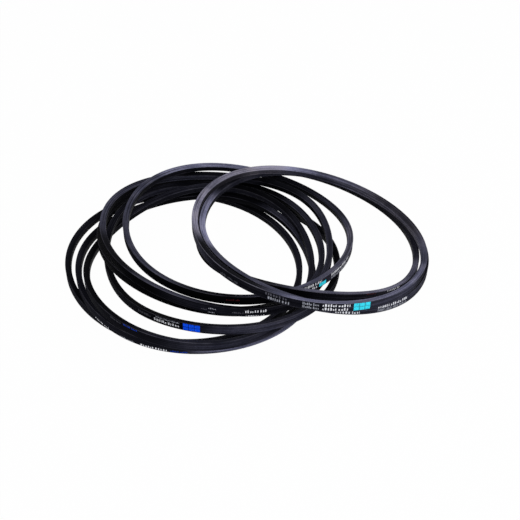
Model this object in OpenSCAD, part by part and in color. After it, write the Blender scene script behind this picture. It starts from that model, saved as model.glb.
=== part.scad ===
// Ten loose wrapped V-belts of one size, laid down in a pile: seven in a stack that has slipped
// out of line, and three more that lean on its right-hand side. Each belt is a closed loop with a
// wedge section: a fabric jacket lapped at the base, and in it a rubber cushion, a layer of cords
// and a rubber core. The pile lies on the plane z = 0, with its middle over the origin.

/* [Belt] */
// Inside length, measured along the base
inside_length = 1000; // [700:10:1600]
// Width of the outer face
top_w = 13; // [10:0.5:22]
// Depth from the outer face to the base
belt_h = 8; // [6:0.5:11]
// Angle between the two flanks
wedge_angle = 40; // [32:1:44]

/* [Layers] */
// Thickness of the fabric jacket
cover_t = 0.9; // [0.5:0.1:1.4]
// Thickness of the cushion over the cords
cushion_t = 1; // [0.5:0.1:2]
// Thickness of the layer of cords
cord_t = 1.3; // [0.8:0.1:2]
// Clearance between one layer and the next
layer_gap = 0.1; // [0.08:0.01:0.2]
// Width of the slit where the jacket laps at the base
lap_gap = 0.2; // [0.1:0.05:0.5]

/* [Pile] */
// Air left between belts that lie on each other
lay_gap = 0.5; // [0.3:0.1:1]
// Cross-sections round each belt
rings = 34; // [24:2:34]

/* [Hidden] */
// How each belt lies, from the bottom of the pile up: the middle of its loop in x and y, then how
// far it is drawn out into an oval, leans over, saddles and ripples, each with the heading of its
// long or high side in degrees. The lengths are those of a belt 1000 long and 13 wide.
LAY = [
    [-78,  -6, [ 8, 125], [ 0,   0], [ 0,   0], [0,   0]],
    [-59, -26, [ 5, 110], [ 3, 190], [ 4,  60], [3,  60]],
    [-52, -33, [12,  85], [ 6, 245], [ 9,  60], [3,  85]],
    [-27, -17, [13, 120], [ 8, 285], [ 8, 130], [4,  15]],
    [-42,   5, [16, 115], [18, 265], [ 6,  50], [2,  20]],
    [-31,  -6, [11, 105], [18, 225], [ 8,  30], [4,  20]],
    [  0,  12, [ 9,  85], [22, 220], [ 6, 140], [1, 115]],
    [ 96,  11, [10,  75], [30, 215], [11, 100], [5,  10]],
    [102,  -8, [10,  85], [31, 210], [ 3,  85], [3, 115]],
    [ 95, -20, [ 9,  80], [31, 210], [ 3, 125], [1,   0]],
];
LAST = len(LAY) - 1;
LAYERS = ["cover", "cushion", "cords", "core"];

// A longer belt lies further out of line, and the waves of a wider one are higher
spread = inside_length / 1000;
swell = top_w / 13;

slope = tan(wedge_angle / 2);
inner_r = inside_length / (2 * PI);
cushion_d = cover_t + layer_gap;
cord_d = cushion_d + cushion_t + layer_gap;
core_d = cord_d + cord_t + layer_gap;
// Two belts this little out of line touch edge on edge, before their flanks slide past each other
edge_land = 1;
// Degrees between the places where a belt is tried against the belts under it
try_step = 1;

// Name of one layer of belt k
function belt_node(k, layer) = str("belt_", k + 1, "_", layer);

// Height of a wave of n crests round a loop, at heading a
function crest(wave, n, a) = wave[0] * cos(n * (a - wave[1]));

// How far belt k stands out at heading a, drawn out into its oval
function bulge(k, a) = spread * crest(LAY[k][2], 2, a);

// Height of belt k at heading a, over its own mean height
function rise(k, a) =
    swell * (crest(LAY[k][3], 1, a) + crest(LAY[k][4], 2, a) + crest(LAY[k][5], 3, a));

// Radius that belt k loses to its oval and its waves, so that it keeps its inside length
function taken_up(k) =
    (pow(2 * spread * LAY[k][2][0], 2) + pow(swell * LAY[k][3][0], 2)
        + pow(2 * swell * LAY[k][4][0], 2) + pow(3 * swell * LAY[k][5][0], 2)) / (4 * inner_r);

// Radius of belt k's outer face at heading a
function outer_r(k, a) = inner_r - taken_up(k) + belt_h + bulge(k, a);

// Middle of belt k's loop, and a point of its outer face seen from above
function middle(k) = spread * [LAY[k][0], LAY[k][1]];
function plan(k, a) = middle(k) + outer_r(k, a) * [cos(a), sin(a)];

// Mid-height that belt k needs at heading a to lie clear on belt j, which lies under it
function over(k, j, a, heights) =
    let (p = plan(k, a) - middle(j), b = atan2(p.y, p.x), off = abs(norm(p) - outer_r(j, b)))
    off > belt_h + lay_gap ? 0
        : heights[j] + rise(j, b) + top_w + lay_gap - slope * max(0, off - edge_land);

// Mean height at which belt k comes to rest on the floor and on the belts under it
function seat(k, heights) = max([
    for (a = [0:try_step:359])
        max([top_w / 2, for (j = [0:1:k - 1]) over(k, j, a, heights)]) - rise(k, a)
]);
function settle(k) = k < 0 ? [] : let (under = settle(k - 1)) concat(under, [seat(k, under)]);
heights = settle(LAST);

// Middle of the whole pile along x (0) or y (1)
function mid(axis) =
    let (v = [for (k = [0:LAST], i = [0:rings - 1]) plan(k, i * 360 / rings)[axis]])
    (min(v) + max(v)) / 2;
pile_mid = [mid(0), mid(1)];

// Half the width of the wedge at depth d, inside a wall of thickness t
function half_w(d, t = 0) = top_w / 2 - d * slope - t / cos(wedge_angle / 2);

// Section between depths d0 and d1, inside a wall of thickness t
function wedge(d0, d1, t) =
    [[d0, half_w(d0, t)], [d0, -half_w(d0, t)], [d1, -half_w(d1, t)], [d1, half_w(d1, t)]];

// Section of the jacket: a strip that runs from the lap along the base, round the upper flank,
// the outer face and the lower flank, and back to the lap
function jacket() =
    let (d = belt_h - cover_t)
    [
        [belt_h, lap_gap - half_w(belt_h, cover_t)],
        [belt_h, half_w(belt_h)],
        [0, half_w(0)],
        [0, -half_w(0)],
        [belt_h, -half_w(belt_h)],
        [belt_h, -half_w(belt_h, cover_t)],
        [cover_t, -half_w(cover_t, cover_t)],
        [cover_t, half_w(cover_t, cover_t)],
        [d, half_w(d, cover_t)],
        [d, lap_gap - half_w(d, cover_t)],
    ];

// Whether section point p comes before q, from the outer face inward and then from the bottom up
function before(p, q) = p[0] < q[0] || (p[0] == q[0] && p[1] < q[1]);

// A section carried round belt k, with the quads of neighbouring layers split along like diagonals
module loop(k, section) {
    n = len(section);
    points = [
        for (i = [0:rings - 1], s = section)
            let (a = i * 360 / rings, p = plan(k, a) - s[0] * [cos(a), sin(a)] - pile_mid)
            [p.x, p.y, heights[k] + rise(k, a) + s[1]]
    ];
    faces = [
        for (i = [0:rings - 1], j = [0:n - 1])
            let (m = (j + 1) % n, here = i * n, next = (i + 1) % rings * n)
            each before(section[j], section[m])
                ? [[here + j, next + m, here + m], [here + j, next + j, next + m]]
                : [[here + j, next + j, here + m], [here + m, next + j, next + m]]
    ];
    polyhedron(points, faces, convexity = 8);
}

// Rubberised fabric wrapped round the whole belt
module cover(k) {
    color("#17171a") loop(k, jacket());
}

// Soft rubber between the outer face and the cords
module cushion(k) {
    color("#2b2b30") loop(k, wedge(cushion_d, cushion_d + cushion_t, cushion_d));
}

// Tension cords, side by side in one layer
module cords(k) {
    color("#b79a68") loop(k, wedge(cord_d, cord_d + cord_t, cushion_d));
}

// Firm rubber that fills the wedge down to the base
module core(k) {
    color("#222225") loop(k, wedge(core_d, belt_h - cushion_d, cushion_d));
}

for (k = [0:LAST]) {
    cover(k);
    cushion(k);
    cords(k);
    core(k);
}
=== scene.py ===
"""Looks of a pile of ten loose wrapped V-belts: seven in a slipped stack and three that lean on it.

Each belt's jacket is drawn again as a smooth loop that lies where its solid lies, with rounded
corners, a lap along the base, woven fabric and plain printed marks. The rubber and the cords inside
keep their solids. A belt's sizes are in millimetres up to the point where its mesh is placed, and the
studio's are in metres. Headings are in degrees from +X, round the middle of a loop.
"""

import logging
import math
import random
from dataclasses import dataclass, field
from enum import Enum

import bmesh
import bpy
from mathutils import Matrix, Vector


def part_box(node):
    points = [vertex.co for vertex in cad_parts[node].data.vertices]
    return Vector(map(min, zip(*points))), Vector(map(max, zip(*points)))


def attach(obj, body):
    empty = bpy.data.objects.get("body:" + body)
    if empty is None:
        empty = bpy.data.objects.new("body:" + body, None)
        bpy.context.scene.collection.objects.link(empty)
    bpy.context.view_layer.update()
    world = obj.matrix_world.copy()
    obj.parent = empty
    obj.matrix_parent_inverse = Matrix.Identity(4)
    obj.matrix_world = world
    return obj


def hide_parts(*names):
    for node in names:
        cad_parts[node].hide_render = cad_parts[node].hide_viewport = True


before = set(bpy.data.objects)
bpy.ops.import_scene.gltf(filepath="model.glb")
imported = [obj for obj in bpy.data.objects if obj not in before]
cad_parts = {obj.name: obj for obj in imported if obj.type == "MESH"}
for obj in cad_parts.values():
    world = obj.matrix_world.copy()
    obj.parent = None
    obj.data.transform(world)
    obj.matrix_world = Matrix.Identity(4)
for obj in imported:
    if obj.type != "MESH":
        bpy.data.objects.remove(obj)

LOG = logging.getLogger("belts")
MM = 0.001
PHOTO_SIDE = 520
PURE_WHITE = (1, 1, 1, 1)
# Points this near, in millimetres, are merged, and a corner's points are found within this
MERGE_WITHIN = 1e-4
FIND_WITHIN = 1e-3
TINY = 1e-6
# Values between which most of a noise pattern lies, and the narrower middle of them
NOISE_RANGE = {"From Min": 0.3, "From Max": 0.7}
NOISE_MIDDLE = {"From Min": 0.35, "From Max": 0.65}
# Sockets of a Mix node for colours, whose names are not unique
MIX_BY, MIX_FROM, MIX_TO, MIX_OUT = 0, 6, 7, 2


def linear(colour: str) -> tuple[float, float, float, float]:
    """Turns an sRGB colour to linear light.

    Args:
        colour: the colour as "#rrggbb".

    Returns:
        Linear red, green and blue, and full opacity.
    """
    parts = [int(colour[i : i + 2], 16) / 255 for i in (1, 3, 5)]
    red, green, blue = (c / 12.92 if c <= 0.04045 else ((c + 0.055) / 1.055) ** 2.4 for c in parts)
    return red, green, blue, 1.0


def add_node(
    tree: bpy.types.NodeTree, kind: str, inputs: dict | None = None, **settings
) -> bpy.types.Node:
    """Adds a node with its settings, and fills its inputs.

    Args:
        tree: the node tree it goes into.
        kind: the node's type.
        inputs: what each input takes, by name or number: a value, or the output that it is linked to.
        **settings: the node's own properties.

    Returns:
        The new node.
    """
    made = tree.nodes.new(kind)
    for name, value in settings.items():
        setattr(made, name, value)
    for name, value in (inputs or {}).items():
        if isinstance(value, bpy.types.NodeSocket):
            tree.links.new(value, made.inputs[name])
        else:
            made.inputs[name].default_value = value
    return made


def new_material(name: str) -> tuple[bpy.types.Material, bpy.types.NodeTree]:
    """Starts an empty node material.

    Args:
        name: the material's name.

    Returns:
        The material and its tree.
    """
    made = bpy.data.materials.new(name)
    made.use_nodes = True
    made.node_tree.nodes.clear()
    return made, made.node_tree


def new_piece(
    name: str, shape: bmesh.types.BMesh, finishes: list[bpy.types.Material]
) -> bpy.types.Object:
    """Turns a bmesh into a piece at the origin.

    Args:
        name: the piece's name.
        shape: its mesh, in metres, which is freed.
        finishes: its materials, in the order of the faces' material numbers.

    Returns:
        The piece's object, linked to the scene.
    """
    mesh = bpy.data.meshes.new(name)
    shape.to_mesh(mesh)
    shape.free()
    for finish in finishes:
        mesh.materials.append(finish)
    piece = bpy.data.objects.new(name, mesh)
    bpy.context.scene.collection.objects.link(piece)
    return piece


class InkColour(Enum):
    """Colours of the printed marks."""

    WHITE = "#f4f5f8"
    GREY = "#9a9ca4"
    CYAN = "#3ceaff"
    BLUE = "#0054ff"
    # Blue ink darkened as painted shade, for blue print that lies in shade
    SHADED_BLUE = "#0838a6"
    RUST = "#4e181e"
    FADED = "#4c4c54"


class Pattern(Enum):
    """How the ink of a printed mark is laid on."""

    BLOCK = "block"
    SLOTTED = "slotted"
    BARS = "bars"
    BOLD = "bold"


@dataclass(frozen=True)
class JacketFabric:
    """Cotton and polyester fabric soaked in black chloroprene rubber, woven and laid on the bias.

    It is nearly black, with a fine diagonal weave and pale corners, partly rubbed and partly a painted
    highlight. A painted sheen, bluish grey with a warmer tint in places, stands in for the light that
    falls on it: more on some belts and headings than on others, and low where shade falls. It lies in
    soft patches and is broken up in streaks that run along the belt. How much painted sheen, warm tint
    and corner mark there is comes from the jacket's own attributes.
    """

    name: str
    rubber: str
    gloss: float
    roughness: float
    # Colours of the painted sheen, of its warmer tint, and of the pale corners, which are partly rubbed
    # fabric and partly painted highlight
    painted_sheen: str = "#8588aa"
    warm_sheen: str = "#8e8891"
    rubbed_and_highlit: str = "#9896a4"
    bias: float = 45.0
    # Threads are about 0.8 mm apart, and are drawn at twice that so that they show
    thread: float = 1.6
    thread_height: float = 0.12
    grit: float = 1.2
    grit_height: float = 0.1
    patch: float = 30.0
    streak_run: float = 90.0
    streak_width: float = 1.3
    # What the patches, the grit and the streaks leave of the painted sheen, from the least to the most
    patchy: tuple[float, float] = (0.65, 1.35)
    gritty: tuple[float, float] = (0.7, 1.3)
    streaky: tuple[float, float] = (0.25, 1.75)
    # Share of the warm tint in the painted sheen, and of the pale corner mark of rubbed fabric and painted
    # highlight, from patch to patch
    sheen_warmth: tuple[float, float] = (0.1, 0.5)
    worn: tuple[float, float] = (0.03, 0.35)
    # How far the roughness goes up and down from patch to patch
    dulling: float = 0.08

    def make(self) -> bpy.types.Material:
        """Makes the fabric's material, which reads the jacket's UV map in millimetres.

        Returns:
            The material.
        """
        made, tree = new_material(self.name)
        cloth = add_node(tree, "ShaderNodeUVMap", uv_map="cloth").outputs["UV"]
        place = add_node(tree, "ShaderNodeTexCoord").outputs["Object"]
        patches = add_node(
            tree,
            "ShaderNodeTexNoise",
            {"Vector": place, "Scale": 1 / (self.patch * MM), "Detail": 4.0, "Roughness": 0.6},
        ).outputs["Fac"]
        grit = add_node(
            tree, "ShaderNodeTexNoise", {"Vector": place, "Scale": 1 / (self.grit * MM), "Detail": 2.0}
        ).outputs["Fac"]
        streaks = self.draw_streaks(tree, cloth, place)
        painted_sheen = self.spread_painted_sheen(tree, patches, grit, streaks)
        least, most = self.roughness - self.dulling, self.roughness + self.dulling
        dull = add_node(
            tree, "ShaderNodeMapRange", {"Value": patches, **NOISE_RANGE, "To Min": least, "To Max": most}
        )
        surface = add_node(
            tree,
            "ShaderNodeBsdfPrincipled",
            {
                "Base Color": self.colour(tree, patches, painted_sheen),
                "Roughness": dull.outputs[0],
                "Normal": self.raise_threads(tree, cloth, grit),
                "Specular IOR Level": self.gloss,
            },
        )
        add_node(tree, "ShaderNodeOutputMaterial", {"Surface": surface.outputs[0]})
        return made

    def draw_streaks(
        self, tree: bpy.types.NodeTree, cloth: bpy.types.NodeSocket, place: bpy.types.NodeSocket
    ) -> bpy.types.NodeSocket:
        """Draws streaks that run along the belt.

        Args:
            tree: the material's tree.
            cloth: place on the fabric in millimetres, along the belt and round its section.
            place: place in the object.

        Returns:
            The streaks' noise.
        """
        run = 1 / (self.streak_run * MM)
        along = add_node(tree, "ShaderNodeVectorMath", {0: place, 1: (run, run, 0)}, operation="MULTIPLY")
        girth = add_node(tree, "ShaderNodeSeparateXYZ", {0: cloth}).outputs["Y"]
        across = add_node(
            tree, "ShaderNodeMath", {0: girth, 1: 1 / self.streak_width}, operation="MULTIPLY"
        )
        across = add_node(tree, "ShaderNodeCombineXYZ", {"Z": across.outputs[0]})
        lines = add_node(
            tree, "ShaderNodeVectorMath", {0: along.outputs[0], 1: across.outputs[0]}, operation="ADD"
        )
        return add_node(
            tree, "ShaderNodeTexNoise", {"Vector": lines.outputs[0], "Scale": 1.0, "Detail": 2.0}
        ).outputs["Fac"]

    def spread_painted_sheen(
        self,
        tree: bpy.types.NodeTree,
        patches: bpy.types.NodeSocket,
        grit: bpy.types.NodeSocket,
        streaks: bpy.types.NodeSocket,
    ) -> bpy.types.NodeSocket:
        """Breaks the jacket's share of painted sheen up in patches, grit and streaks.

        Args:
            tree: the material's tree.
            patches: noise of the soft patches.
            grit: noise of the grit.
            streaks: noise of the streaks.

        Returns:
            The share of painted sheen at each place.
        """
        painted_sheen = add_node(tree, "ShaderNodeAttribute", attribute_name="painted_sheen").outputs["Fac"]
        breaks = ((patches, self.patchy), (grit, self.gritty), (streaks, self.streaky))
        for noise, (least, most) in breaks:
            left = add_node(
                tree,
                "ShaderNodeMapRange",
                {"Value": noise, **NOISE_RANGE, "To Min": least, "To Max": most},
            )
            painted_sheen = add_node(
                tree, "ShaderNodeMath", {0: painted_sheen, 1: left.outputs[0]}, operation="MULTIPLY"
            ).outputs[0]
        return painted_sheen

    def colour(
        self, tree: bpy.types.NodeTree, patches: bpy.types.NodeSocket, painted_sheen: bpy.types.NodeSocket
    ) -> bpy.types.NodeSocket:
        """Colours the rubber with painted sheen and its warm tint, and the corners with a pale mark, partly
        rubbing and partly painted highlight.

        Args:
            tree: the material's tree.
            patches: noise of the soft patches.
            painted_sheen: share of painted sheen at each place.

        Returns:
            The fabric's colour.
        """
        # Warm tint of the painted sheen, which shows only where the painted sheen does
        warm_sheen = add_node(tree, "ShaderNodeAttribute", attribute_name="warm_sheen").outputs["Fac"]
        least, most = self.sheen_warmth
        mottled = add_node(
            tree, "ShaderNodeMapRange", {"Value": patches, **NOISE_RANGE, "To Min": least, "To Max": most}
        )
        sheen_warmth = add_node(
            tree, "ShaderNodeMath", {0: mottled.outputs[0], 1: warm_sheen}, operation="ADD", use_clamp=True
        )
        film = add_node(
            tree,
            "ShaderNodeMix",
            {MIX_BY: sheen_warmth.outputs[0], MIX_FROM: linear(self.painted_sheen), MIX_TO: linear(self.warm_sheen)},
            data_type="RGBA",
        )
        body = add_node(
            tree,
            "ShaderNodeMix",
            {MIX_BY: painted_sheen, MIX_FROM: linear(self.rubber), MIX_TO: film.outputs[MIX_OUT]},
            data_type="RGBA",
        )
        # Pale corner mark, partly rubbed fabric and partly painted highlight along the edges
        corner = add_node(tree, "ShaderNodeAttribute", attribute_name="rubbed_and_highlit").outputs["Fac"]
        least, most = self.worn
        wear_and_highlight_patches = add_node(
            tree,
            "ShaderNodeMapRange",
            {"Value": patches, **NOISE_MIDDLE, "To Min": least, "To Max": most},
        )
        worn = add_node(tree, "ShaderNodeMath", {0: corner, 1: wear_and_highlight_patches.outputs[0]}, operation="MULTIPLY")
        return add_node(
            tree,
            "ShaderNodeMix",
            {MIX_BY: worn.outputs[0], MIX_FROM: body.outputs[MIX_OUT], MIX_TO: linear(self.rubbed_and_highlit)},
            data_type="RGBA",
        ).outputs[MIX_OUT]

    def raise_threads(
        self, tree: bpy.types.NodeTree, cloth: bpy.types.NodeSocket, grit: bpy.types.NodeSocket
    ) -> bpy.types.NodeSocket:
        """Raises the weave's threads, which cross on the bias, and the grit on them.

        Args:
            tree: the material's tree.
            cloth: place on the fabric in millimetres.
            grit: noise of the grit.

        Returns:
            The surface's normal.
        """
        turned = add_node(
            tree,
            "ShaderNodeMapping",
            {
                "Vector": cloth,
                "Rotation": (0, 0, math.radians(self.bias)),
                "Scale": (math.pi / self.thread,) * 3,
            },
        )
        threads = add_node(tree, "ShaderNodeSeparateXYZ", {0: turned.outputs[0]})
        warp = add_node(tree, "ShaderNodeMath", {0: threads.outputs["X"]}, operation="SINE")
        weft = add_node(tree, "ShaderNodeMath", {0: threads.outputs["Y"]}, operation="SINE")
        weave = add_node(
            tree, "ShaderNodeMath", {0: warp.outputs[0], 1: weft.outputs[0]}, operation="MULTIPLY"
        )
        woven = add_node(
            tree,
            "ShaderNodeBump",
            {"Height": weave.outputs[0], "Strength": 0.4, "Distance": self.thread_height * MM},
        )
        return add_node(
            tree,
            "ShaderNodeBump",
            {
                "Height": grit,
                "Strength": 0.3,
                "Distance": self.grit_height * MM,
                "Normal": woven.outputs[0],
            },
        ).outputs[0]


@dataclass(frozen=True)
class PrintInk:
    """Screen ink on fabric: a thin matt film that the weave breaks up and handling has worn."""

    colour: InkColour
    rubber: str = "#0c0c10"
    roughness: float = 0.6
    gloss: float = 0.1
    # Size of the worn spots, the noise at which they start and are full, and what they then take away
    wear: float = 2.4
    wear_start: float = 0.5
    wear_full: float = 0.75
    wear_most: float = 0.55

    def make(self) -> bpy.types.Material:
        """Makes the ink's material, worn through to the rubber in small spots.

        Returns:
            The material.
        """
        made, tree = new_material(f"screen_ink_{self.colour.name.lower()}")
        place = add_node(tree, "ShaderNodeTexCoord").outputs["Object"]
        spots = add_node(
            tree, "ShaderNodeTexNoise", {"Vector": place, "Scale": 1 / (self.wear * MM), "Detail": 3.0}
        )
        through = add_node(
            tree,
            "ShaderNodeMapRange",
            {
                "Value": spots.outputs["Fac"],
                "From Min": self.wear_start,
                "From Max": self.wear_full,
                "To Min": 0.0,
                "To Max": self.wear_most,
            },
        )
        shown = add_node(
            tree,
            "ShaderNodeMix",
            {MIX_BY: through.outputs[0], MIX_FROM: linear(self.colour.value), MIX_TO: linear(self.rubber)},
            data_type="RGBA",
        )
        surface = add_node(
            tree,
            "ShaderNodeBsdfPrincipled",
            {
                "Base Color": shown.outputs[MIX_OUT],
                "Roughness": self.roughness,
                "Specular IOR Level": self.gloss,
            },
        )
        add_node(tree, "ShaderNodeOutputMaterial", {"Surface": surface.outputs[0]})
        return made


@dataclass(frozen=True)
class InnerStuff:
    """Rubber or cord inside the jacket: cut rubber is dull and finely grained, cord is pale and twisted."""

    name: str
    dark: str
    light: str
    grain: float
    roughness: float
    grain_height: float = 0.1

    def make(self) -> bpy.types.Material:
        """Makes the material, with a grain of its real size in millimetres.

        Returns:
            The material.
        """
        made, tree = new_material(self.name)
        place = add_node(tree, "ShaderNodeTexCoord").outputs["Object"]
        grain = add_node(
            tree, "ShaderNodeTexNoise", {"Vector": place, "Scale": 1 / (self.grain * MM), "Detail": 4.0}
        ).outputs["Fac"]
        shown = add_node(
            tree,
            "ShaderNodeMix",
            {MIX_BY: grain, MIX_FROM: linear(self.dark), MIX_TO: linear(self.light)},
            data_type="RGBA",
        )
        bump = add_node(
            tree,
            "ShaderNodeBump",
            {"Height": grain, "Strength": 0.4, "Distance": self.grain_height * MM},
        )
        surface = add_node(
            tree,
            "ShaderNodeBsdfPrincipled",
            {
                "Base Color": shown.outputs[MIX_OUT],
                "Roughness": self.roughness,
                "Normal": bump.outputs[0],
            },
        )
        add_node(tree, "ShaderNodeOutputMaterial", {"Surface": surface.outputs[0]})
        return made


@dataclass(frozen=True)
class Wave:
    """A wave round a loop: its height and the heading of its crest."""

    height: float = 0.0
    heading: float = 0.0

    def at(self, crests: int, heading: float) -> float:
        """Height of the wave at that heading, with that many crests round the loop."""
        return self.height * math.cos(math.radians(crests * (heading - self.heading)))


@dataclass(frozen=True)
class Lay:
    """How a belt lies: the middle of its loop, and its oval, lean, saddle and ripple."""

    middle: tuple[float, float]
    oval: Wave
    lean: Wave = Wave()
    saddle: Wave = Wave()
    ripple: Wave = Wave()

    def bulge(self, heading: float) -> float:
        """How far the loop stands out at that heading, drawn out into its oval."""
        return self.oval.at(2, heading)

    def rise(self, heading: float) -> float:
        """Height of the loop at that heading, over its own mean height."""
        return self.lean.at(1, heading) + self.saddle.at(2, heading) + self.ripple.at(3, heading)

    def taken_up(self, radius: float) -> float:
        """Radius that a loop of that radius loses to its waves, so that it keeps its inside length."""
        waves = (2 * self.oval.height, self.lean.height, 2 * self.saddle.height, 3 * self.ripple.height)
        return sum(wave**2 for wave in waves) / (4 * radius)


@dataclass(frozen=True)
class Section:
    """Wedge section that all ten belts share."""

    inside_length: float = 1000.0
    top_w: float = 13.0
    depth: float = 8.0
    wedge_angle: float = 40.0
    jacket: float = 0.9
    lap_gap: float = 0.2
    lap_groove: float = 0.5
    top_corner: float = 0.9
    base_corner: float = 0.5

    @property
    def inner_r(self) -> float:
        """Inside radius of a belt that lies as a circle."""
        return self.inside_length / (2 * math.pi)

    def half_w(self, depth: float, wall: float = 0.0) -> float:
        """Half the width at that depth, inside a wall of that thickness."""
        half = math.radians(self.wedge_angle / 2)
        return self.top_w / 2 - depth * math.tan(half) - wall / math.cos(half)

    def corners(self) -> list[tuple[float, float, float]]:
        """Finds the four long corners.

        Returns:
            Depth, height and rounding of each.
        """
        base = self.half_w(self.depth)
        top = self.top_w / 2
        return [
            (self.depth, base, self.base_corner),
            (0.0, top, self.top_corner),
            (0.0, -top, self.top_corner),
            (self.depth, -base, self.base_corner),
        ]

    def outline(self) -> list[tuple[float, float]]:
        """Draws the section, from the lap along the base and round to the lap again.

        Returns:
            Depth and height of each point.
        """
        # The lap shows as a groove twice as wide as its gap, deepest over the middle of the gap
        lap = self.lap_gap / 2 - self.half_w(self.depth, self.jacket)
        return [
            (self.depth, lap + self.lap_gap),
            *[(depth, height) for depth, height, _ in self.corners()],
            (self.depth, lap - self.lap_gap),
            (self.depth - self.lap_groove, lap),
        ]

    def sides(self) -> list[tuple[tuple[float, float], tuple[float, float]]]:
        """Both ends of each side of the outline, in the order of its points."""
        points = self.outline()
        return list(zip(points, points[1:] + points[:1]))

    def girth(self, depth: float, height: float) -> float:
        """Measures how far along the outline the place nearest to a point lies.

        Args:
            depth: the point's depth.
            height: the point's height.

        Returns:
            The length of the outline from its first point to that place.
        """
        best, along, walked = math.inf, 0.0, 0.0
        for (d0, h0), (d1, h1) in self.sides():
            run = math.hypot(d1 - d0, h1 - h0)
            share = ((depth - d0) * (d1 - d0) + (height - h0) * (h1 - h0)) / run**2
            share = min(1.0, max(0.0, share))
            miss = math.hypot(d0 + share * (d1 - d0) - depth, h0 + share * (h1 - h0) - height)
            if miss < best - TINY:
                best, along = miss, walked + share * run
            walked += run
        return along

    def full_girth(self) -> float:
        """Length of the whole outline."""
        return sum(math.dist(start, end) for start, end in self.sides())


@dataclass(frozen=True)
class Stretch:
    """A stretch of a belt, from heading to heading, and the share that it has."""

    start: float
    end: float
    share: float


@dataclass(frozen=True)
class Share:
    """Share of painted sheen, of its warm tint or of the corner mark along a belt: what it has all round,
    and where it has more.
    """

    all_round: float
    stretches: tuple[Stretch, ...] = ()
    fade: float = 20.0

    def at(self, heading: float) -> float:
        """Finds the share at one place, where it fades out beyond the ends of each stretch.

        Args:
            heading: the place's heading.

        Returns:
            The share.
        """
        most = self.all_round
        for stretch in self.stretches:
            middle, half = (stretch.start + stretch.end) / 2, (stretch.end - stretch.start) / 2
            beyond = abs((heading - middle + 180) % 360 - 180) - half
            left = min(1.0, max(0.0, 1.0 - beyond / self.fade))
            more = (stretch.share - self.all_round) * left**2 * (3 - 2 * left)
            most = max(most, self.all_round + more)
        return most


@dataclass(frozen=True)
class Stroke:
    """Bars of a row of print: their least and greatest width and gap, and the space after a group."""

    bar: tuple[float, float]
    gap: tuple[float, float]
    space: float
    # Bars in a group, the least length that takes one more bar, and how high a bar may be in its row
    group: int = 6
    least: float = 0.6
    heights: tuple[float, ...] = (1.0, 1.0, 0.85, 0.6)


STROKES = {
    Pattern.BARS: Stroke((0.6, 1.4), (0.6, 1.0), 1.9),
    Pattern.BOLD: Stroke((1.1, 2.2), (1.1, 1.9), 2.6),
}


@dataclass(frozen=True)
class Mark:
    """A plain printed mark on the outer face: where it starts and ends, and its lower and upper edge."""

    ink: InkColour
    pattern: Pattern
    start: float
    end: float
    low: float
    high: float
    slot: float = 0.6
    columns: int = 3

    def films(self, length: float) -> list[tuple[float, float, float, float]]:
        """Lays out the mark's films of ink.

        Args:
            length: the mark's length along the belt.

        Returns:
            Start, end, lower and upper edge of each film.
        """
        if self.pattern is Pattern.BLOCK:
            return [(0.0, length, self.low, self.high)]
        if self.pattern is Pattern.SLOTTED:
            return self.cells(length)
        return self.row(length, STROKES[self.pattern])

    def cells(self, length: float) -> list[tuple[float, float, float, float]]:
        """Lays out a block that slots divide into two rows of cells.

        Args:
            length: the block's length along the belt.

        Returns:
            Start, end, lower and upper edge of each cell.
        """
        wide = (length - (self.columns - 1) * self.slot) / self.columns
        tall = (self.high - self.low - self.slot) / 2
        starts = [column * (wide + self.slot) for column in range(self.columns)]
        lows = (self.low, self.low + tall + self.slot)
        return [(start, start + wide, low, low + tall) for start in starts for low in lows]

    def row(self, length: float, stroke: Stroke) -> list[tuple[float, float, float, float]]:
        """Lays out a row of bars, whose widths, gaps and heights vary by chance.

        Args:
            length: the row's length along the belt.
            stroke: the widths, gaps and heights of the bars.

        Returns:
            Start, end, lower and upper edge of each bar.
        """
        chance = random.Random(round(self.start * 10))
        tall = self.high - self.low
        films, at = [], 0.0
        while at < length - stroke.least:
            wide = min(chance.uniform(*stroke.bar), length - at)
            share = chance.choice(stroke.heights)
            films.append((at, at + wide, self.low, self.low + tall * share))
            full = len(films) % stroke.group == 0
            at += wide + (stroke.space if full else chance.uniform(*stroke.gap))
        return films


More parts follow.
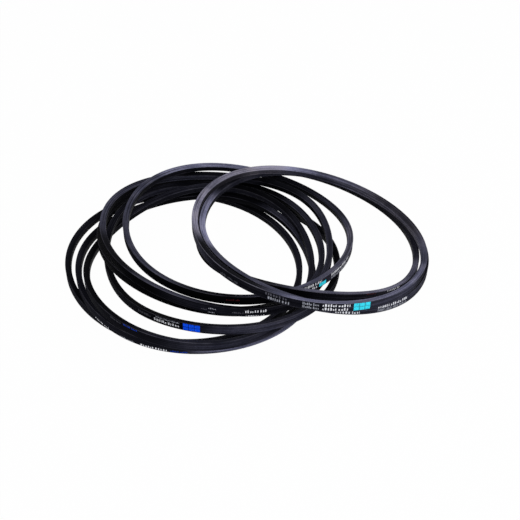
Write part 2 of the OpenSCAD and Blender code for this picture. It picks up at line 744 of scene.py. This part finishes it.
@dataclass
class Belt:
    """One loose belt: a smooth jacket over its solids, and the marks printed on it.

    The outer face, the upper flank and the base each have their share of painted sheen, high where light
    falls on them and low where shade falls. The lower flank has that of the base. The edges have their
    share of a pale corner mark, partly rubbing and partly painted highlight, and the whole belt its share
    of the painted sheen's warm tint.
    """

    number: int
    lay: Lay
    face: Share
    flank: Share
    base: Share
    marks: tuple[Mark, ...] = ()
    edges: Share = Share(1.0)
    warm_sheen: Share = Share(0.0)
    section: Section = Section()
    # Lengths round the smooth loop, cross-sections of the solids, and lengths round a corner
    steps: int = 360
    rings: int = 34
    corner_steps: int = 3
    # Part of a corner's rounding that takes the pale mark of rubbing and painted highlight, and how
    # squarely an outer face looks outward
    edge_mark_reach: float = 0.95
    outward: float = 0.9
    # Points within this depth of a face are on it
    skin: float = 0.05
    # Thickness of the ink, and the part of it that is sunk into the fabric
    film: float = 0.05
    film_sunk: float = 0.2
    corner: Vector = field(init=False, default_factory=Vector)

    def __post_init__(self) -> None:
        """Finds where the belt lies from the lowest corner of its jacket's solid."""
        low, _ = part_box(self.node("cover"))
        ring = [self.lie(i * 360 / self.rings, 0.0, -self.section.top_w / 2) for i in range(self.rings)]
        self.corner = low / MM - Vector([min(p[axis] for p in ring) for axis in range(3)])

    @property
    def body(self) -> str:
        """Name of the body that the belt moves with."""
        return f"belt_{self.number}"

    def node(self, layer: str) -> str:
        """Name of the solid of one layer."""
        return f"{self.body}_{layer}"

    def outer_r(self, heading: float) -> float:
        """Radius of the outer face at that heading."""
        inner_r = self.section.inner_r
        return inner_r - self.lay.taken_up(inner_r) + self.section.depth + self.lay.bulge(heading)

    def lie(self, heading: float, depth: float, height: float) -> Vector:
        """Where a point of the section comes to lie.

        Args:
            heading: its heading from the middle of the loop.
            depth: how far it is in from the outer face.
            height: its height over the middle of the section.

        Returns:
            The point in millimetres, in the frame of the part.
        """
        turn = math.radians(heading)
        reach = self.outer_r(heading) - depth
        x, y = self.lay.middle
        return self.corner + Vector(
            (x + reach * math.cos(turn), y + reach * math.sin(turn), self.lay.rise(heading) + height)
        )

    def build_jacket(self, finishes: list[bpy.types.Material]) -> bpy.types.Object:
        """Spins the section into a round loop, rounds its corners, and lays it down as the belt lies.

        Args:
            finishes: the fabric of the outer face, and that of the flanks and the base.

        Returns:
            The jacket, which rides on the belt's body in place of the jacket's solid.
        """
        section = self.section
        round_r = section.inner_r + section.depth
        shape = bmesh.new()
        verts = [shape.verts.new((round_r - depth, 0, height)) for depth, height in section.outline()]
        edges = [shape.edges.new(pair) for pair in zip(verts, verts[1:] + verts[:1])]
        bmesh.ops.spin(
            shape,
            geom=verts + edges,
            cent=(0, 0, 0),
            axis=(0, 0, 1),
            angle=2 * math.pi,
            steps=self.steps,
            use_merge=True,
        )
        bmesh.ops.remove_doubles(shape, verts=shape.verts, dist=MERGE_WITHIN)
        for depth, height, rounding in section.corners():
            self.round_corner(shape, round_r - depth, height, rounding)
        bmesh.ops.recalc_face_normals(shape, faces=shape.faces)
        self.dress(shape, round_r)
        for vert in shape.verts:
            x, y, height = vert.co
            vert.co = self.lie(math.degrees(math.atan2(y, x)), round_r - math.hypot(x, y), height) * MM
        piece = new_piece(f"{self.body}_jacket", shape, finishes)
        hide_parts(self.node("cover"))
        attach(piece, self.body)
        return piece

    def round_corner(
        self, shape: bmesh.types.BMesh, radius: float, height: float, rounding: float
    ) -> None:
        """Bevels the long edge that runs round the loop.

        Args:
            shape: the loop before it is laid down.
            radius: the edge's radius.
            height: the edge's height.
            rounding: how far the bevel reaches from the edge.
        """
        ring = {
            vert
            for vert in shape.verts
            if abs(math.hypot(vert.co.x, vert.co.y) - radius) < FIND_WITHIN
            and abs(vert.co.z - height) < FIND_WITHIN
        }
        bmesh.ops.bevel(
            shape,
            geom=[edge for edge in shape.edges if ring.issuperset(edge.verts)],
            offset=rounding,
            segments=self.corner_steps,
            profile=0.5,
            affect="EDGES",
            material=-1,
        )

    def dress(self, shape: bmesh.types.BMesh, round_r: float) -> None:
        """Gives the round loop its fabric's UV map in millimetres, its attributes and its two finishes.

        Args:
            shape: the loop before it is laid down.
            round_r: radius of its outer face.
        """
        section = self.section
        cloth = shape.loops.layers.uv.new("cloth")
        rubbed_and_highlit = shape.verts.layers.float.new("rubbed_and_highlit")
        painted_sheen = shape.verts.layers.float.new("painted_sheen")
        warm_sheen = shape.verts.layers.float.new("warm_sheen")
        girths: dict[tuple[float, float], float] = {}
        place: dict[bmesh.types.BMVert, tuple[float, float]] = {}
        for vert in shape.verts:
            x, y, height = vert.co
            heading = math.degrees(math.atan2(y, x))
            depth = round_r - math.hypot(x, y)
            key = (round(depth, 3), round(height, 3))
            if key not in girths:
                girths[key] = section.girth(depth, height)
            place[vert] = (heading / 360 * section.inside_length, girths[key])
            nearest = min(math.hypot(depth - d, height - h) / r for d, h, r in section.corners())
            # Corners take a pale mark, partly rubbed fabric and partly painted highlight
            vert[rubbed_and_highlit] = max(0.0, 1.0 - nearest / self.edge_mark_reach) * self.edges.at(heading)
            # Painted sheen by face and heading: a painted highlight where light falls, kept low where shade
            # falls
            vert[painted_sheen] = self.painted_sheen_at(heading, depth, height)
            vert[warm_sheen] = self.warm_sheen.at(heading)
        whole = (section.inside_length, section.full_girth())
        for face in shape.faces:
            centre = face.calc_center_median()
            outward = face.normal.dot(Vector((centre.x, centre.y, 0)).normalized())
            face.material_index = 0 if outward > self.outward else 1
            face.smooth = True
            # Where the map starts again, a face takes its low corners from beyond the map's far end
            starts = [place[loop.vert] for loop in face.loops]
            far = [max(start[axis] for start in starts) for axis in range(2)]
            for loop, start in zip(face.loops, starts):
                loop[cloth].uv = [s + w if f - s > w / 2 else s for s, f, w in zip(start, far, whole)]

    def painted_sheen_at(self, heading: float, depth: float, height: float) -> float:
        """Finds the share of painted sheen at a point of the section.

        Args:
            heading: the point's heading.
            depth: how far it is in from the outer face.
            height: its height over the middle of the section.

        Returns:
            The share of painted sheen.
        """
        if depth < self.skin:
            return self.face.at(heading)
        if height > 0 and depth < self.section.depth - self.skin:
            return self.flank.at(heading)
        return self.base.at(heading)

    def build_marks(self, inks: dict[InkColour, bpy.types.Material]) -> list[bpy.types.Object]:
        """Prints the belt's marks, one thin piece for each colour of ink.

        Args:
            inks: the material of each ink.

        Returns:
            The printed pieces, which ride on the belt's body.
        """
        pieces = []
        for ink in InkColour:
            chosen = [mark for mark in self.marks if mark.ink is ink]
            if not chosen:
                continue
            shape = bmesh.new()
            for mark in chosen:
                self.lay_out(shape, mark)
            self.wrap_on(shape)
            piece = new_piece(f"{self.body}_print_{ink.name.lower()}", shape, [inks[ink]])
            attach(piece, self.body)
            pieces.append(piece)
        return pieces

    def lay_out(self, shape: bmesh.types.BMesh, mark: Mark) -> None:
        """Adds the films of ink of one mark, laid out flat: heading, height and depth.

        Args:
            shape: the mesh that the films are added to.
            mark: the mark.
        """
        per_degree = math.radians(1) * self.outer_r((mark.start + mark.end) / 2)
        depth = self.film * (self.film_sunk - 0.5)
        for start, end, low, high in mark.films((mark.end - mark.start) * per_degree):
            size = Vector(((end - start) / per_degree, high - low, self.film))
            centre = Vector((mark.start + (start + end) / 2 / per_degree, (low + high) / 2, depth))
            bmesh.ops.create_cube(shape, size=1.0, matrix=Matrix.LocRotScale(centre, None, size))

    def wrap_on(self, shape: bmesh.types.BMesh) -> None:
        """Cuts the flat films at each degree and wraps them on the outer face.

        Args:
            shape: the films, laid out flat.
        """
        headings = [vert.co.x for vert in shape.verts]
        for heading in range(math.ceil(min(headings)), math.ceil(max(headings))):
            bmesh.ops.bisect_plane(
                shape,
                geom=[*shape.verts, *shape.edges, *shape.faces],
                dist=TINY,
                plane_co=(heading, 0, 0),
                plane_no=(1, 0, 0),
            )
        for vert in shape.verts:
            heading, height, depth = vert.co
            vert.co = self.lie(heading, depth, height) * MM
        bmesh.ops.recalc_face_normals(shape, faces=shape.faces)


@dataclass
class Pile:
    """The ten belts, from the lowest to the top one."""

    belts: list[Belt] = field(init=False)

    def __post_init__(self) -> None:
        """Lays the belts down as their solids lie."""
        white, grey, cyan, blue, shaded_blue, rust, faded = InkColour
        block, slotted, bars, bold = Pattern
        # Greyer where the photograph doesn't look: the outer faces at the back, the bases at the front
        far, near = Stretch(40, 140, 0.12), Stretch(220, 320, 0.08)
        # Each belt's face, flank and base shares are painted sheen: high at the headings where light falls
        # on that face, low where shade falls
        self.belts = [
            Belt(
                1,
                Lay((-78, -6), Wave(8, 125)),
                face=Share(0.022, (far,)),
                flank=Share(0.01, (Stretch(160, 180, 0.02), Stretch(290, 385, 0.035))),
                base=Share(0.01, (near,)),
            ),
            Belt(
                2,
                Lay((-59, -26), Wave(5, 110), Wave(3, 190), Wave(4, 60), Wave(3, 60)),
                face=Share(0.025, (far, Stretch(285, 320, 0.5))),
                flank=Share(0.006, (Stretch(0, 40, 0.14), Stretch(180, 220, 0.03))),
                base=Share(0.005, (near,)),
                marks=(
                    Mark(white, bold, 221.5, 231.5, -5.3, -3.5),
                    Mark(grey, bars, 238, 245.5, -5.3, -3.7),
                    Mark(white, bold, 248.7, 260.4, -5.1, -2.3),
                    # Blue print darkened as painted shade
                    Mark(shaded_blue, bars, 261.9, 269.1, -5.1, -2.3),
                ),
            ),
            Belt(
                3,
                Lay((-52, -33), Wave(12, 85), Wave(6, 245), Wave(9, 60), Wave(3, 85)),
                face=Share(0.012, (far, Stretch(272, 295, 0.07))),
                flank=Share(
                    0.003, (Stretch(95, 125, 0.04), Stretch(262, 288, 0.07), Stretch(340, 385, 0.045))
                ),
                base=Share(0.01, (near, Stretch(40, 115, 0.03))),
                marks=(
                    Mark(faded, bars, 233.3, 239, 2.6, 4.8),
                    # Blue print darkened as painted shade
                    Mark(shaded_blue, bars, 240.4, 247.4, 3.4, 5.7),
                ),
            ),
            Belt(
                4,
                Lay((-27, -17), Wave(13, 120), Wave(8, 285), Wave(8, 130), Wave(4, 15)),
                face=Share(0.005, (far, Stretch(198, 230, 0.02), Stretch(278, 300, 0.13))),
                flank=Share(0.003, (Stretch(125, 160, 0.025), Stretch(275, 300, 0.07))),
                base=Share(0.01, (near, Stretch(95, 135, 0.08))),
                marks=(
                    Mark(faded, bars, 230.6, 239, -1, 2.5),
                    Mark(grey, bars, 242, 254.2, 2.7, 4.9),
                    Mark(white, bold, 241, 254.4, -2.9, 1.2),
                    Mark(blue, slotted, 255.9, 263.3, -5.2, 5.2),
                ),
            ),
            Belt(
                5,
                Lay((-42, 5), Wave(16, 115), Wave(18, 265), Wave(6, 50), Wave(2, 20)),
                face=Share(0, (far,)),
                flank=Share(0.002, (Stretch(325, 390, 0.07),)),
                base=Share(0.003, (near,)),
            ),
            Belt(
                6,
                Lay((-31, -6), Wave(11, 105), Wave(18, 225), Wave(8, 30), Wave(4, 20)),
                face=Share(0, (far, Stretch(262, 295, 0.025))),
                flank=Share(
                    0.008, (Stretch(125, 182, 0.13), Stretch(245, 256, 0.1), Stretch(320, 385, 0.08))
                ),
                base=Share(0.005, (near, Stretch(82, 112, 0.14))),
                marks=(
                    Mark(faded, bars, 265.5, 268, -2.6, -0.6),
                    Mark(grey, bars, 268.3, 271.2, 0.2, 2.2),
                    Mark(grey, bars, 268.1, 271, -5.3, -4),
                    Mark(faded, bars, 277.4, 281.7, -1.4, 0.6),
                    Mark(white, bold, 282.5, 291.2, 0, 3.7),
                    Mark(white, bold, 282.7, 290.8, -5.3, -4.1),
                ),
            ),
            Belt(
                7,
                Lay((0, 12), Wave(9, 85), Wave(22, 220), Wave(6, 140), Wave(1, 115)),
                face=Share(0.002, (far, Stretch(180, 215, 0.02), Stretch(310, 345, 0.1))),
                flank=Share(
                    0.02,
                    (
                        Stretch(90, 128, 0.47),
                        Stretch(142, 158, 0.18),
                        Stretch(145, 232, 0.125),
                        Stretch(285, 365, 0.24),
                        Stretch(365, 392, 0.07),
                    ),
                ),
                base=Share(0.01, (near, Stretch(75, 135, 0.025))),
                marks=(
                    Mark(rust, bars, 264.8, 270.3, -0.2, 2.2),
                    Mark(white, bold, 297, 308, 0.8, 4.6),
                    Mark(white, bold, 299, 306, -4.4, -0.8),
                    Mark(cyan, block, 306.5, 311, -5.2, 0.5),
                    Mark(white, bold, 315, 334, 0.6, 4.6),
                    Mark(grey, bars, 315, 332, -4.4, -0.8),
                ),
                warm_sheen=Share(0, (Stretch(320, 360, 0.2),)),
            ),
            Belt(
                8,
                Lay((96, 11), Wave(10, 75), Wave(30, 215), Wave(11, 100), Wave(5, 10)),
                face=Share(0, (far, Stretch(280, 310, 0.05))),
                flank=Share(
                    0.02, (Stretch(268, 295, 0.27), Stretch(298, 335, 0.4), Stretch(335, 380, 0.1))
                ),
                base=Share(0.02, (near,)),
                marks=(
                    Mark(rust, bars, 290.5, 295.5, 3.8, 5.9),
                    Mark(white, bold, 302.5, 312, 3.6, 5.9),
                ),
                warm_sheen=Share(0.2),
            ),
            Belt(
                9,
                Lay((102, -8), Wave(10, 85), Wave(31, 210), Wave(3, 85), Wave(3, 115)),
                face=Share(0.01, (far, Stretch(270, 320, 0.12))),
                flank=Share(0.03, (Stretch(165, 198, 0.72), Stretch(200, 258, 0.17))),
                base=Share(0.02, (near, Stretch(92, 118, 0.13), Stretch(118, 140, 0.07))),
                marks=(
                    Mark(white, bold, 273.5, 283.5, -4.4, -1),
                    Mark(white, bold, 292, 310, 0.6, 4.6),
                    Mark(grey, bars, 292, 309, -4.4, -0.8),
                ),
            ),
            Belt(
                10,
                Lay((95, -20), Wave(9, 80), Wave(31, 210), Wave(3, 125), Wave(1, 0)),
                face=Share(0.02, (far, Stretch(170, 204, 0.15), Stretch(290, 312, 0.14))),
                flank=Share(
                    0.01,
                    (
                        Stretch(92, 160, 0.52),
                        Stretch(101, 112, 0.95),
                        Stretch(160, 188, 0.68),
                        Stretch(262, 330, 0.42),
                        Stretch(340, 365, 0.16),
                        Stretch(365, 408, 0.07),
                        Stretch(420, 440, 0.2),
                    ),
                ),
                base=Share(0.06, (near, Stretch(78, 114, 0.19), Stretch(340, 425, 0.3))),
                marks=(
                    Mark(faded, bars, 225.8, 235.5, -3.4, -0.4),
                    Mark(faded, bold, 248, 257, 1, 4.6),
                    Mark(grey, bold, 249, 258, -4.4, -0.6),
                    Mark(grey, bars, 262.5, 269, 0.6, 4.4),
                    Mark(grey, bars, 262.5, 269, -4.2, -0.6),
                    Mark(white, bold, 270.2, 281.6, 1, 4.8),
                    Mark(white, bold, 270.2, 280.6, -4.6, -0.6),
                    Mark(cyan, slotted, 282.7, 290, -5.2, 5.4),
                ),
                # Painted highlight along this belt's corners from heading 190 to 262
                edges=Share(1, (Stretch(190, 262, 3),)),
                warm_sheen=Share(0, (Stretch(110, 195, 0.4), Stretch(375, 410, 0.4))),
            ),
        ]

    def build(self) -> None:
        """Builds each belt's pieces and gives its inner solids their finishes."""
        fabric = [
            JacketFabric("wrapped_fabric_outer_face", "#040406", gloss=0.004, roughness=0.6).make(),
            JacketFabric("wrapped_fabric_flank", "#050507", gloss=0.006, roughness=0.45).make(),
        ]
        inks = {ink: PrintInk(ink).make() for ink in InkColour}
        inner = {
            "cushion": InnerStuff(
                "natural_rubber_cushion", "#1c1c20", "#34343a", grain=1.5, roughness=0.7
            ).make(),
            "cords": InnerStuff(
                "twisted_polyester_cord", "#8f7346", "#cdb182", grain=0.6, roughness=0.6
            ).make(),
            "core": InnerStuff(
                "fibre_filled_rubber_core", "#161619", "#2c2c30", grain=1.0, roughness=0.75
            ).make(),
        }
        for belt in self.belts:
            for piece in (belt.build_jacket(fabric), *belt.build_marks(inks)):
                LOG.info("%s: %d faces", piece.name, len(piece.data.polygons))
            for layer, finish in inner.items():
                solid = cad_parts[belt.node(layer)]
                solid.data.materials.clear()
                solid.data.materials.append(finish)
                LOG.info("%s: %s", solid.name, finish.name)


@dataclass(frozen=True)
class Lamp:
    """Square soft lamp: where it hangs round the pile, its side and its power in watts."""

    name: str
    heading: float
    elevation: float
    distance: float
    side: float
    watts: float

    def hang(self) -> None:
        """Hangs the lamp so that it faces the middle of the pile."""
        data = bpy.data.lights.new(self.name, "AREA")
        data.size, data.energy = self.side, self.watts
        lamp = bpy.data.objects.new(self.name, data)
        turn, lift = math.radians(self.heading), math.radians(self.elevation)
        lamp.location = self.distance * Vector(
            (math.cos(turn) * math.cos(lift), math.sin(turn) * math.cos(lift), math.sin(lift))
        )
        lamp.rotation_euler = (-lamp.location).to_track_quat("-Z", "Y").to_euler()
        bpy.context.scene.collection.objects.link(lamp)


@dataclass(frozen=True)
class Studio:
    """Pale floor, soft lamps, white surroundings and the camera at the photograph's angle."""

    floor_side: float = 12.0
    floor_colour: str = "#cfcfd2"
    # How white the floor is to the eye: the rest of it takes the pile's shadow
    floor_white: float = 0.985
    light_colour: str = "#f0f2fa"
    light_strength: float = 0.5
    lamps: tuple[Lamp, ...] = (
        Lamp("key", heading=350, elevation=45, distance=1.6, side=0.9, watts=10),
        Lamp("top", heading=100, elevation=70, distance=1.6, side=1.2, watts=5),
        Lamp("front", heading=255, elevation=30, distance=1.8, side=1.4, watts=12),
    )
    # The camera's elevation in degrees, its distance from the point it aims at, and its focal length
    elevation: float = 38.0
    distance: float = 1.1
    focal_px: float = 781.0
    sensor: float = 36.0
    clip: tuple[float, float] = (0.01, 50.0)
    # The point that the camera aims at, and the pixel of the photograph where that point shows
    aim: tuple[float, float, float] = (-0.007455, 0.011950, 0.0)
    aim_px: tuple[float, float] = (239.25, 261.25)

    @staticmethod
    def seen_rays(tree: bpy.types.NodeTree) -> bpy.types.NodeSocket:
        """Tells the rays that see the surroundings from those that carry light.

        Args:
            tree: the tree of the floor's material or of the world.

        Returns:
            1 for what is seen straight, in a gloss or through glass, and 0 for the rest.
        """
        rays = add_node(tree, "ShaderNodeLightPath").outputs
        seen = rays["Is Camera Ray"]
        for kind in ("Is Glossy Ray", "Is Transmission Ray"):
            either = add_node(tree, "ShaderNodeMath", {0: seen, 1: rays[kind]}, operation="MAXIMUM")
            seen = either.outputs[0]
        return seen

    def build_floor(self) -> None:
        """Lays a pale floor, white to the eye, that still takes the pile's shadow."""
        shape = bmesh.new()
        bmesh.ops.create_grid(shape, x_segments=1, y_segments=1, size=self.floor_side / 2)
        made, tree = new_material("pale_paper_floor")
        seen = self.seen_rays(tree)
        share = add_node(tree, "ShaderNodeMath", {0: seen, 1: self.floor_white}, operation="MULTIPLY")
        paper = add_node(tree, "ShaderNodeBsdfDiffuse", {"Color": linear(self.floor_colour)})
        white = add_node(tree, "ShaderNodeEmission", {"Color": PURE_WHITE, "Strength": 1.0})
        mixed = add_node(
            tree, "ShaderNodeMixShader", {0: share.outputs[0], 1: paper.outputs[0], 2: white.outputs[0]}
        )
        add_node(tree, "ShaderNodeOutputMaterial", {"Surface": mixed.outputs[0]})
        floor = new_piece("floor", shape, [made])

    def light_world(self) -> None:
        """Surrounds the scene with soft pale light, and with plain white where it is seen."""
        world = bpy.data.worlds.new("studio")
        bpy.context.scene.world = world
        world.use_nodes = True
        tree = world.node_tree
        tree.nodes.clear()
        soft = add_node(
            tree,
            "ShaderNodeBackground",
            {"Color": linear(self.light_colour), "Strength": self.light_strength},
        )
        white = add_node(tree, "ShaderNodeBackground", {"Color": PURE_WHITE, "Strength": 1.0})
        mixed = add_node(
            tree,
            "ShaderNodeMixShader",
            {0: self.seen_rays(tree), 1: soft.outputs[0], 2: white.outputs[0]},
        )
        add_node(tree, "ShaderNodeOutputWorld", {"Surface": mixed.outputs[0]})

    def place_camera(self) -> None:
        """Sets the camera where the photograph was taken from."""
        data = bpy.data.cameras.new("camera")
        data.sensor_width = self.sensor
        data.lens = self.focal_px / PHOTO_SIDE * self.sensor
        data.shift_x = (PHOTO_SIDE / 2 - self.aim_px[0]) / PHOTO_SIDE
        data.shift_y = (self.aim_px[1] - PHOTO_SIDE / 2) / PHOTO_SIDE
        data.clip_start, data.clip_end = self.clip
        camera = bpy.data.objects.new("camera", data)
        lift = math.radians(self.elevation)
        back = Vector((0, -math.cos(lift), math.sin(lift)))
        camera.location = Vector(self.aim) + self.distance * back
        camera.rotation_euler = (math.radians(90 - self.elevation), 0, 0)
        bpy.context.scene.collection.objects.link(camera)
        bpy.context.scene.camera = camera

    def build(self) -> None:
        """Builds the whole studio."""
        bpy.context.scene.view_settings.view_transform = "Standard"
        self.build_floor()
        self.light_world()
        for lamp in self.lamps:
            lamp.hang()
        self.place_camera()


def main() -> None:
    """Builds the pile and the studio."""
    logging.basicConfig(level=logging.INFO, format="%(message)s")
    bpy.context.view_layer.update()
    Pile().build()
    Studio().build()


if __name__ == "__main__":
    main()
